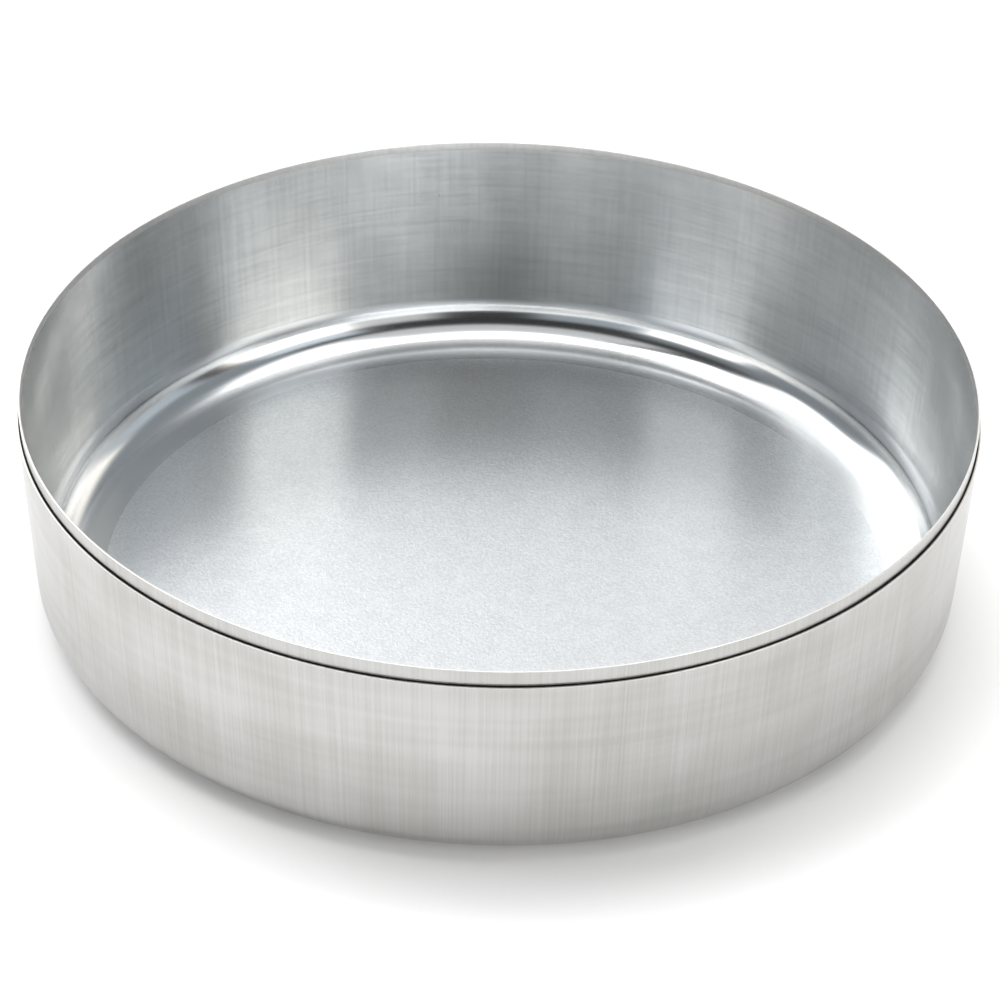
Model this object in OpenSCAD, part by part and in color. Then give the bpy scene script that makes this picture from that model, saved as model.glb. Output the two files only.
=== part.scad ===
// Round candle tin, deep drawn from thin aluminium sheet, standing in its own
// upturned slip lid.
//
// The lid is parked under the tin as a saucer, with its floor on the table.
// The tin stands on the lid's floor and lifts straight up out of it.
// The origin is the middle of the lid's underside, on the table, with +Z up.
// All sizes are in millimetres.

/* [Tin] */
// Outer diameter across the tin's rim
tin_rim_d = 100; // [70:1:160]
// Height of the tin, from the underside of its floor to its rim
tin_h = 24.3; // [24:0.1:40]
// Outer radius of the bend between the tin's floor and its wall
tin_corner_r = 4.7; // [4.6:0.1:8]

/* [Lid] */
// Height of the lid, from the underside of its floor to its rim
lid_h = 22.7; // [14:0.1:23.8]
// Outer radius of the bend between the lid's floor and its wall
lid_corner_r = 4.7; // [3:0.1:4.7]

/* [Sheet and fit] */
// Thickness of the aluminium sheet
sheet_t = 0.2; // [0.15:0.05:0.4]
// Lean of both walls out from the vertical, in degrees
wall_lean = 4; // [0:0.1:8]
// Level gap between the tin's wall and the lid's wall
side_gap = 0.15; // [0.15:0.05:1]

/* [Hidden] */

// The tin stands on the lid's floor, one sheet above the table.
tin_base_z = sheet_t;
tin_rim_z = tin_base_z + tin_h;
tin_rim_r = tin_rim_d / 2;

// The lid's wall is parallel to the tin's, one gap and one sheet further out.
level_sheet_t = sheet_t / cos(wall_lean);
tin_r_at_lid_rim = tin_rim_r - (tin_rim_z - lid_h) * tan(wall_lean);
lid_rim_r = tin_r_at_lid_rim + side_gap + level_sheet_t;

// How far the cutter for a cup's hollow stands above the cup's rim
cutter_rise = 1;

$fn = 180;

// Radius at which a cup's flat floor ends and its corner bend begins.
function flat_floor_r(rim_r, height, corner_r) =
    rim_r - (corner_r + (height - corner_r) * sin(wall_lean)) / cos(wall_lean);

// Half of a filled cup's section: flat floor, round corner and leaning wall.
module filled_section(floor_z, bend_x, bend_z, bend_r, top_r, top_z) {
    wall_start = [bend_x + bend_r * cos(wall_lean), bend_z - bend_r * sin(wall_lean)];
    polygon([
        [0, floor_z],
        [bend_x, floor_z],
        [bend_x, bend_z],
        wall_start,
        [top_r, top_z],
        [0, top_z],
    ]);
    translate([bend_x, bend_z])
        circle(r = bend_r);
}

// A drawn cup of even sheet: floor, corner bend and leaning wall, cut level at the rim.
module drawn_cup(rim_r, height, corner_r) {
    bend_x = flat_floor_r(rim_r, height, corner_r);
    cutter_top_r = rim_r - level_sheet_t + cutter_rise * tan(wall_lean);
    difference() {
        rotate_extrude()
            filled_section(0, bend_x, corner_r, corner_r, rim_r, height);
        rotate_extrude()
            filled_section(sheet_t, bend_x, corner_r, corner_r - sheet_t,
                           cutter_top_r, height + cutter_rise);
    }
}

// Slip lid, upturned, with its open side up.
module lid() {
    color([0.84, 0.84, 0.83])
        drawn_cup(lid_rim_r, lid_h, lid_corner_r);
}

// Tin, empty, standing inside the lid.
module tin_body() {
    color([0.78, 0.80, 0.82])
        translate([0, 0, tin_base_z])
            drawn_cup(tin_rim_r, tin_h, tin_corner_r);
}

lid();
tin_body();
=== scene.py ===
"""Drawn-aluminium candle tin standing in an upturned lid: the looks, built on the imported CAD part."""
import math

import bmesh
import bpy
from mathutils import Matrix, Vector, noise


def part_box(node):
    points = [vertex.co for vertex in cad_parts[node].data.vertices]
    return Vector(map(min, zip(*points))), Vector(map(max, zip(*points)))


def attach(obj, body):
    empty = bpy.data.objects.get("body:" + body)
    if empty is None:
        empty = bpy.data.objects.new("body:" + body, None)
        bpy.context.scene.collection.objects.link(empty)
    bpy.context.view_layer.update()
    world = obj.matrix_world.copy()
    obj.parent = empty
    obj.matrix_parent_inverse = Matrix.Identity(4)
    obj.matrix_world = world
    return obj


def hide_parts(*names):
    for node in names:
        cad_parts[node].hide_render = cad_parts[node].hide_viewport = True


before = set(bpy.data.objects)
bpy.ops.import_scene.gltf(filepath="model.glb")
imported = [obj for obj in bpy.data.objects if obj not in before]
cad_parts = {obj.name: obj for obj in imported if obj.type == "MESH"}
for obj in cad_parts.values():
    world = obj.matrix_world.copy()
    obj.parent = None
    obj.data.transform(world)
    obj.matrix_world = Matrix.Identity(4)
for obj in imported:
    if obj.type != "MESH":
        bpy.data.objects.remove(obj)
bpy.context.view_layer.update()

# ---- Sizes, in metres ----

MM = 0.001

# The frame gives where each cup stands, how wide and high it is, and the sheet's thickness,
# which is how far the tin's underside stands above the lid's.
tin_low, tin_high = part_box("tin_body")
lid_low, lid_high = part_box("lid")
SHEET = tin_low.z - lid_low.z

# The lean of the walls and the outer radii of the corner bends, as in the CAD model.
WALL_LEAN = math.radians(4)
TIN_CORNER_R = 4.7 * MM
LID_CORNER_R = 4.7 * MM

# How finely a cup is turned and its outline is cut up.
TURNS = 400
BEND_STEPS = 24
WALL_STEPS = 26
FLOOR_STEPS = 22
EDGE_STEPS = 4

# The sheared rim has its edges broken by this radius.
EDGE_R = 0.06 * MM

# Slight ripples that drawing leaves in the wall and the bend: how deep they are, how long they
# are round the cup, how closely they follow each other up the cup compared with round it, and
# over what share of the cup's height they fade out under the rim.
RIPPLE = 0.03 * MM
RIPPLE_LENGTH = 5 * MM
RIPPLE_UPRIGHT = 0.6
RIPPLE_RIM_FADE = 0.25


# ---- Cups ----

def arc(centre_r, centre_z, radius, start_deg, end_deg, steps):
    """Points (r, z) along an arc. 0 degrees points outwards and 90 points up."""
    points = []
    for i in range(steps + 1):
        angle = math.radians(start_deg + (end_deg - start_deg) * i / steps)
        points.append((centre_r + radius * math.cos(angle), centre_z + radius * math.sin(angle)))
    return points


def between(start, end, steps):
    """Points spaced evenly between two ends, both left out."""
    return [
        (
            start[0] + (end[0] - start[0]) * i / steps,
            start[1] + (end[1] - start[1]) * i / steps,
        )
        for i in range(1, steps)
    ]


def flat_floor_r(rim_r, height, corner_r):
    """Radius at which a cup's flat floor ends and its corner bend begins."""
    return rim_r - (corner_r + (height - corner_r) * math.sin(WALL_LEAN)) / math.cos(WALL_LEAN)


def cup_outline(rim_r, height, corner_r):
    """Section of a cup as (zone, points) runs, from the middle of its underside to that of its floor."""
    lean_deg = math.degrees(WALL_LEAN)
    bend_r = flat_floor_r(rim_r, height, corner_r)
    inner_rim_r = rim_r - SHEET / math.cos(WALL_LEAN)
    outer_bend = arc(bend_r, corner_r, corner_r, -90, -lean_deg, BEND_STEPS)
    inner_bend = arc(bend_r, corner_r, corner_r - SHEET, -lean_deg, -90, BEND_STEPS)
    outer_edge = arc(rim_r - EDGE_R, height - EDGE_R, EDGE_R, -lean_deg, 90, EDGE_STEPS)
    inner_edge = arc(inner_rim_r + EDGE_R, height - EDGE_R, EDGE_R, 90, 180 - lean_deg, EDGE_STEPS)
    return [
        ("outside", between((0, 0), outer_bend[0], FLOOR_STEPS) + outer_bend),
        ("outside", between(outer_bend[-1], outer_edge[0], WALL_STEPS)),
        ("rim", outer_edge + inner_edge),
        ("wall", between(inner_edge[-1], inner_bend[0], WALL_STEPS)),
        ("bend", inner_bend),
        ("floor", between(inner_bend[-1], (0, SHEET), FLOOR_STEPS)),
    ]


def turn_outline(name, outline, base_z, materials):
    """A closed mesh turned from an outline, with a point on the axis at each end."""
    zones = list(materials)
    mesh = bpy.data.meshes.new(name)
    for zone in zones:
        mesh.materials.append(materials[zone])
    bm = bmesh.new()
    rings = []
    ring_zones = []
    for zone, points in outline:
        for r, z in points:
            ring = []
            for i in range(TURNS):
                angle = math.tau * i / TURNS
                ring.append(bm.verts.new((r * math.cos(angle), r * math.sin(angle), base_z + z)))
            rings.append(ring)
            ring_zones.append(zones.index(zone))
    underside_middle = bm.verts.new((0, 0, base_z))
    floor_middle = bm.verts.new((0, 0, base_z + SHEET))
    for i in range(TURNS):
        j = (i + 1) % TURNS
        for near, far, zone in zip(rings, rings[1:], ring_zones):
            bm.faces.new((near[i], near[j], far[j], far[i])).material_index = zone
        bm.faces.new((underside_middle, rings[0][j], rings[0][i])).material_index = ring_zones[0]
        bm.faces.new((floor_middle, rings[-1][i], rings[-1][j])).material_index = ring_zones[-1]
    bmesh.ops.recalc_face_normals(bm, faces=bm.faces)
    for face in bm.faces:
        face.smooth = True
    bm.to_mesh(mesh)
    bm.free()
    piece = bpy.data.objects.new(name, mesh)
    bpy.context.scene.collection.objects.link(piece)
    return piece


def ripple(piece, low, high, corner_r):
    """Ripple the wall and the bend in and out, fading out towards the rim and the floor."""
    for vertex in piece.data.vertices:
        radius = math.hypot(vertex.co.x, vertex.co.y)
        up = (vertex.co.z - low.z) / (high.z - low.z)
        floor_fade = min(1, max(0, (vertex.co.z - low.z) / corner_r))
        rim_fade = min(1, (1 - up) / RIPPLE_RIM_FADE)
        place = Vector((vertex.co.x, vertex.co.y, vertex.co.z * RIPPLE_UPRIGHT)) / RIPPLE_LENGTH
        if radius > 0:
            push = RIPPLE * (floor_fade * rim_fade) * noise.noise(place) / radius
            vertex.co.x += vertex.co.x * push
            vertex.co.y += vertex.co.y * push


def make_cup(name, low, high, corner_r):
    """One drawn cup that fills the CAD node's box."""
    rim_r = (high.x - low.x) / 2
    height = high.z - low.z
    materials = cup_materials(name, flat_floor_r(rim_r, height, corner_r))
    piece = turn_outline(name, cup_outline(rim_r, height, corner_r), low.z, materials)
    ripple(piece, low, high, corner_r)
    return piece


# ---- Shader nodes ----

class Graph:
    """Short names for adding nodes to one node tree."""

    def __init__(self, tree):
        self.tree = tree

    def node(self, kind, **settings):
        node = self.tree.nodes.new("ShaderNode" + kind)
        for setting, value in settings.items():
            setattr(node, setting, value)
        return node

    def put(self, socket, value):
        """Set a socket to a plain value, or link it to another node's output."""
        if isinstance(value, bpy.types.NodeSocket):
            self.tree.links.new(value, socket)
        else:
            socket.default_value = value

    def math(self, operation, a, b=0.0, c=0.0):
        node = self.node("Math", operation=operation)
        for socket, value in zip(node.inputs, (a, b, c)):
            self.put(socket, value)
        return node.outputs[0]

    def vector(self, operation, a, b=(0, 0, 0)):
        node = self.node("VectorMath", operation=operation)
        self.put(node.inputs[0], a)
        self.put(node.inputs[1], b)
        return node.outputs[0]

    def scale(self, vector, factor):
        node = self.node("VectorMath", operation="SCALE")
        self.put(node.inputs["Vector"], vector)
        self.put(node.inputs["Scale"], factor)
        return node.outputs[0]

    def dot(self, a, b):
        node = self.node("VectorMath", operation="DOT_PRODUCT")
        self.put(node.inputs[0], a)
        self.put(node.inputs[1], b)
        return node.outputs["Value"]

    def length(self, vector):
        node = self.node("VectorMath", operation="LENGTH")
        self.put(node.inputs[0], vector)
        return node.outputs["Value"]

    def split(self, vector):
        node = self.node("SeparateXYZ")
        self.put(node.inputs[0], vector)
        return node.outputs

    def join(self, x, y, z):
        node = self.node("CombineXYZ")
        for socket, value in zip(node.inputs, (x, y, z)):
            self.put(socket, value)
        return node.outputs[0]

    def ramp(self, value, start, end):
        """Smooth change from 0 to 1 as the value goes from start to end."""
        node = self.node("MapRange", interpolation_type="SMOOTHSTEP")
        for socket, setting in zip(node.inputs, (value, start, end)):
            self.put(socket, setting)
        return node.outputs[0]

    def blend(self, factor, start, end):
        """Plain value that goes from start to end as the factor goes from 0 to 1."""
        return self.math("MULTIPLY_ADD", factor, end - start, start)

    def noise(self, place, detail=2.0, roughness=0.5):
        node = self.node("TexNoise")
        self.put(node.inputs["Vector"], place)
        node.inputs["Scale"].default_value = 1
        node.inputs["Detail"].default_value = detail
        node.inputs["Roughness"].default_value = roughness
        return node.outputs["Fac"]

    def mix(self, factor, a, b):
        node = self.node("Mix", data_type="RGBA")
        self.put(node.inputs["Factor"], factor)
        self.put(node.inputs["A"], a)
        self.put(node.inputs["B"], b)
        return node.outputs["Result"]


class Metal(Graph):
    """A bare-metal material, with places in millimetres to hang its detail on."""

    def __init__(self, name):
        self.material = bpy.data.materials.new(name)
        self.material.use_nodes = True
        super().__init__(self.material.node_tree)
        self.shader = self.tree.nodes["Principled BSDF"]
        self.shader.inputs["Metallic"].default_value = 1
        coordinates = self.node("TexCoord").outputs["Object"]
        self.place = self.scale(coordinates, 1 / MM)
        flat = self.vector("MULTIPLY", self.place, (1, 1, 0))
        self.around = self.vector("NORMALIZE", flat)
        self.radius = self.length(flat)
        self.height = self.split(self.place)["Z"]

    def streaks(self, wide, tall, detail=2.0):
        """Noise in marks about so many mm wide round the cup and so many mm tall up it."""
        turned = self.scale(self.around, tin_high.x / MM / wide)
        upright = self.join(0, 0, self.math("MULTIPLY", self.height, 1 / tall))
        return self.noise(self.vector("ADD", turned, upright), detail)

    def grain(self, size, detail=2.0, roughness=0.5):
        """Even noise in spots about so many mm across."""
        return self.noise(self.scale(self.place, 1 / size), detail, roughness)

    def varied(self, value, *changes):
        """A value with centred noise of given strengths added to it."""
        for texture, strength in changes:
            centred = self.math("SUBTRACT", texture, 0.5)
            value = self.math("MULTIPLY_ADD", centred, strength, value)
        return value

    def colour(self, *changes, light, dark, share=0.5):
        """Base colour this share of the way from light to dark, more or less as the textures say."""
        factor = self.varied(share, *changes)
        self.put(self.shader.inputs["Base Color"], self.mix(factor, light, dark))

    def roughness(self, value, *changes):
        """Roughness, more or less as the textures say."""
        self.put(self.shader.inputs["Roughness"], self.varied(value, *changes))

    def bump(self, *depths):
        """Bump from textures, each with its depth in micrometres."""
        total = self.varied(0.0, *depths)
        node = self.node("Bump")
        node.inputs["Strength"].default_value = 1
        node.inputs["Distance"].default_value = MM * MM
        self.put(node.inputs["Height"], total)
        self.put(self.shader.inputs["Normal"], node.outputs["Normal"])

    def brushed(self, amount, spread):
        """Stretch reflections by this amount, ROUND_THE_CUP or UP_THE_CUP."""
        self.shader.inputs["Anisotropic"].default_value = amount
        self.shader.inputs["Anisotropic Rotation"].default_value = spread
        tangent = self.node("Tangent", direction_type="RADIAL", axis="Z")
        self.put(self.shader.inputs["Tangent"], tangent.outputs[0])


# ---- Aluminium ----

# Which way reflections are stretched, as a share of a turn away from level.
ROUND_THE_CUP = 0
UP_THE_CUP = 0.25

# Roughness of each surface. The floor keeps the satin skin of the rolled sheet, the tools have
# burnished the rest, most of all round the bend, and the sheared rim is the roughest. A surface
# that straddles about 0.27 shows specks once the render is denoised, so the bend and both sides
# of the wall lie mostly below that, and the floor and the rim mostly above it.
OUTSIDE_ROUGH = 0.25
RIM_ROUGH = 0.35
WALL_TOP_ROUGH = 0.25
WALL_FOOT_ROUGH = 0.2
BEND_ROUGH = 0.16
BEND_EDGE_ROUGH = 0.25
FLOOR_ROUGH = 0.3

# Between these heights, in mm, the inner wall goes from its smooth foot to its duller top.
WALL_FOOT_ENDS = 7
WALL_TOP_STARTS = 17

# Across this many mm beyond the flat floor the bend goes from its duller edge to full burnish.
BURNISH_WIDTH = 2.2


def outside_aluminium(name):
    """Drawn outer wall: fine upright die lines, faint level bands and warm blotches."""
    metal = Metal(name)
    fine = metal.streaks(wide=0.25, tall=30)
    broad = metal.streaks(wide=1.5, tall=12)
    bands = metal.streaks(wide=40, tall=1.2)
    blotches = metal.grain(9)
    metal.colour(
        (fine, 1.6), (broad, 0.1), (blotches, 1.5), (bands, 0.9),
        light=(0.55, 0.545, 0.54, 1),
        dark=(0.44, 0.435, 0.415, 1),
    )
    metal.roughness(OUTSIDE_ROUGH, (broad, 0.05), (bands, 0.05))
    metal.bump((fine, 4), (broad, 1), (bands, 4))
    metal.brushed(0.8, ROUND_THE_CUP)
    return metal.material


def rim_aluminium(name):
    """Sheared rim edge, bright with short burrs."""
    metal = Metal(name)
    burrs = metal.streaks(wide=0.6, tall=5, detail=3)
    metal.colour(
        (burrs, 1.5),
        light=(0.7, 0.695, 0.68, 1),
        dark=(0.58, 0.57, 0.555, 1),
    )
    metal.roughness(RIM_ROUGH, (burrs, 0.2))
    metal.bump((burrs, 10))
    return metal.material


def wall_aluminium(name):
    """Inner wall: ringed by the ironing that drew it up, smoother low down than near the rim."""
    metal = Metal(name)
    duller = metal.ramp(metal.height, WALL_FOOT_ENDS, WALL_TOP_STARTS)
    rings = metal.streaks(wide=16, tall=0.3, detail=3)
    scores = metal.streaks(wide=6, tall=0.8, detail=4)
    lines = metal.streaks(wide=0.4, tall=14)
    blotches = metal.grain(5)
    metal.colour(
        (lines, 0.9), (blotches, 0.8), (rings, 0.9), (scores, 1.0),
        light=(0.71, 0.72, 0.715, 1),
        dark=(0.52, 0.53, 0.53, 1),
        share=0.45,
    )
    metal.roughness(
        metal.blend(duller, WALL_FOOT_ROUGH, WALL_TOP_ROUGH),
        (scores, 0.08), (lines, 0.03),
    )
    metal.bump((rings, 4), (scores, 5), (lines, 1))
    metal.brushed(0.9, UP_THE_CUP)
    return metal.material


def bend_aluminium(name, flat_r):
    """Corner bend, burnished bright where the punch's nose ironed the sheet, fading into the floor."""
    metal = Metal(name)
    burnish = metal.ramp(metal.radius, flat_r, flat_r + BURNISH_WIDTH)
    rings = metal.streaks(wide=12, tall=0.3)
    grain = metal.grain(0.4)
    metal.colour(
        (rings, 0.6), (grain, 0.6),
        light=(0.74, 0.755, 0.765, 1),
        dark=(0.66, 0.675, 0.69, 1),
    )
    metal.roughness(
        metal.blend(burnish, BEND_EDGE_ROUGH, BEND_ROUGH),
        (rings, 0.05), (grain, 0.03),
    )
    metal.bump((rings, 1.5), (grain, 0.4))
    return metal.material


def floor_aluminium(name):
    """Flat floor, untouched by the punch: the satin skin of the rolled sheet."""
    metal = Metal(name)
    fine = metal.grain(0.3, detail=3, roughness=0.7)
    soft = metal.grain(2.5)
    metal.colour(
        (fine, 3), (soft, 0.8),
        light=(0.71, 0.735, 0.755, 1),
        dark=(0.57, 0.59, 0.61, 1),
    )
    metal.roughness(FLOOR_ROUGH, (fine, 0.04), (soft, 0.04))
    metal.bump((fine, 25), (soft, 6))
    return metal.material


def cup_materials(name, flat_r):
    """One aluminium for each zone of a cup."""
    return {
        "outside": outside_aluminium(name + "_outside"),
        "rim": rim_aluminium(name + "_rim"),
        "wall": wall_aluminium(name + "_wall"),
        "bend": bend_aluminium(name + "_bend", flat_r / MM),
        "floor": floor_aluminium(name + "_floor"),
    }


# ---- The two pieces ----

tin = make_cup("tin_shell", tin_low, tin_high, TIN_CORNER_R)
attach(tin, "tin")
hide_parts("tin_body")

lid = make_cup("lid_shell", lid_low, lid_high, LID_CORNER_R)
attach(lid, "lid")
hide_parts("lid")


# ---- Studio ----

# The floor's size in metres, its pale matt finish, and the white that the camera sees beyond it.
STUDIO_FLOOR_SIZE = 6
STUDIO_FLOOR_COLOUR = (0.9, 0.9, 0.9, 1)
STUDIO_FLOOR_ROUGH = 0.9
BACKDROP = (1, 1, 1, 1)

# Light of the dark room between the panels
DARK_ROOM = (0.04, 0.04, 0.04)

# Half the width of a panel's soft edge, in degrees
PANEL_BLUR = 4

# Tints of the panels' light
WHITE = (1.0, 1.0, 1.0)
WARM = (1.05, 1.0, 0.93)
COOL = (0.9, 1.0, 1.07)

# Elevations in degrees: the low panels stand on the horizon's light, and most high ones on them.
HORIZON_TOP = 14
LOW_TOP = 34
HIGH_TOP = 58
OVERHEAD_TOP = 76

# Soft panels all round the tin. Azimuth 0 is straight behind the tin and 90 is to its right.
# Each has its azimuth and half its width, its lower and upper elevation, its radiance and its
# tint. The radiances began as a least-squares fit of the render's brightness to the photo's,
# and were then rounded and changed.
PANELS = {
    "behind left": (-36, 30, HORIZON_TOP, 44, 2.5, WHITE),
    "behind, low": (9, 15, HORIZON_TOP, LOW_TOP, 0.65, WARM),
    "behind, high": (9, 15, LOW_TOP, HIGH_TOP, 1.1, WHITE),
    "behind right, low": (42, 18, HORIZON_TOP, LOW_TOP, 1.5, WARM),
    "right, low": (78, 17, HORIZON_TOP, LOW_TOP, 0.6, COOL),
    "right, high": (67, 43, LOW_TOP, HIGH_TOP, 0.27, COOL),
    "front right, low": (124, 15, HORIZON_TOP, LOW_TOP, 2.9, WARM),
    "front right, high": (124, 15, LOW_TOP, 48, 0.9, COOL),
    "right of the camera": (151, 12, HORIZON_TOP, LOW_TOP, 0.7, WHITE),
    "left of the camera": (-156, 15, HORIZON_TOP, LOW_TOP, 0.4, COOL),
    "front left": (-129, 12, HORIZON_TOP, 31, 2.9, WHITE),
    "left, low": (-92, 25, HORIZON_TOP, LOW_TOP, 0.25, COOL),
    "left, high": (-105, 36, LOW_TOP, 44, 0.2, COOL),
    "key, behind left": (-51, 15, 42, HIGH_TOP, 3.2, WHITE),
    "fill, left": (-78, 14, 40, HIGH_TOP, 2.2, WHITE),
    "fill, behind": (-21, 15, 44, HIGH_TOP, 0.6, WHITE),
    "overhead, behind": (-20, 80, 61, 77, 6.5, WHITE),
    "overhead, right": (90, 30, HIGH_TOP, OVERHEAD_TOP, 2.0, WHITE),
    "overhead, front": (180, 60, 56, OVERHEAD_TOP, 0.7, WHITE),
    "ceiling": (0, 180, 77, 95, 2.6, WHITE),
    "horizon": (0, 180, -5, HORIZON_TOP, 2.7, WHITE),
}


def make_floor():
    """Pale matt floor that the lid stands on."""
    bpy.ops.mesh.primitive_plane_add(size=STUDIO_FLOOR_SIZE)
    floor = bpy.context.object
    floor.name = "studio_floor"
    material = bpy.data.materials.new("studio_floor")
    material.use_nodes = True
    shader = material.node_tree.nodes["Principled BSDF"]
    shader.inputs["Base Color"].default_value = STUDIO_FLOOR_COLOUR
    shader.inputs["Roughness"].default_value = STUDIO_FLOOR_ROUGH
    shader.inputs["Specular IOR Level"].default_value = 0
    floor.data.materials.append(material)


def panel_light(graph, direction, azimuth, half_width, low, high, radiance, tint):
    """Light from one soft-edged panel, as a colour that depends on the direction it is seen in."""
    x, y, z = graph.split(direction)
    towards = (math.sin(math.radians(azimuth)), math.cos(math.radians(azimuth)), 0)
    level = graph.vector("NORMALIZE", graph.join(x, y, 0))
    turn = graph.math("DEGREES", graph.math("ARCCOSINE", graph.dot(level, towards)))
    rise = graph.math("DEGREES", graph.math("ARCSINE", z))
    inside = graph.ramp(turn, half_width + PANEL_BLUR, half_width - PANEL_BLUR)
    above = graph.ramp(rise, low - PANEL_BLUR, low + PANEL_BLUR)
    below = graph.ramp(rise, high + PANEL_BLUR, high - PANEL_BLUR)
    shape = graph.math("MULTIPLY", inside, graph.math("MULTIPLY", above, below))
    return graph.scale(tuple(channel * radiance for channel in tint), shape)


def make_world():
    """The panels round the tin in a dark room. The camera itself sees only white beyond the floor."""
    world = bpy.data.worlds.new("studio")
    world.use_nodes = True
    graph = Graph(world.node_tree)
    direction = graph.node("TexCoord").outputs["Generated"]
    light = DARK_ROOM
    for panel in PANELS.values():
        light = graph.vector("ADD", light, panel_light(graph, direction, *panel))
    camera_ray = graph.node("LightPath").outputs["Is Camera Ray"]
    seen = graph.mix(camera_ray, light, BACKDROP)
    graph.put(graph.tree.nodes["Background"].inputs["Color"], seen)
    bpy.context.scene.world = world


make_floor()
make_world()


# ---- Camera ----

# At the photograph's viewing angle: the point it looks at, how far off and how high up it is,
# how far it leans to one side, and its lens and sensor in mm.
CAMERA_AIM = Vector((0.3 * MM, 0, 9.7 * MM))
CAMERA_DISTANCE = 467 * MM
CAMERA_ELEVATION = math.radians(34.74)
CAMERA_ROLL = math.radians(1.27)
CAMERA_LENS = 158.4
CAMERA_SENSOR = 36

camera_data = bpy.data.cameras.new("camera")
camera_data.lens = CAMERA_LENS
camera_data.sensor_width = CAMERA_SENSOR
camera = bpy.data.objects.new("camera", camera_data)
backwards = Vector((0, -math.cos(CAMERA_ELEVATION), math.sin(CAMERA_ELEVATION)))
turned = backwards.to_track_quat("Z", "Y").to_matrix() @ Matrix.Rotation(CAMERA_ROLL, 3, "Z")
camera.matrix_world = Matrix.Translation(CAMERA_AIM + backwards * CAMERA_DISTANCE) @ turned.to_4x4()
bpy.context.scene.collection.objects.link(camera)
bpy.context.scene.camera = camera
bpy.context.scene.view_settings.view_transform = "Standard"
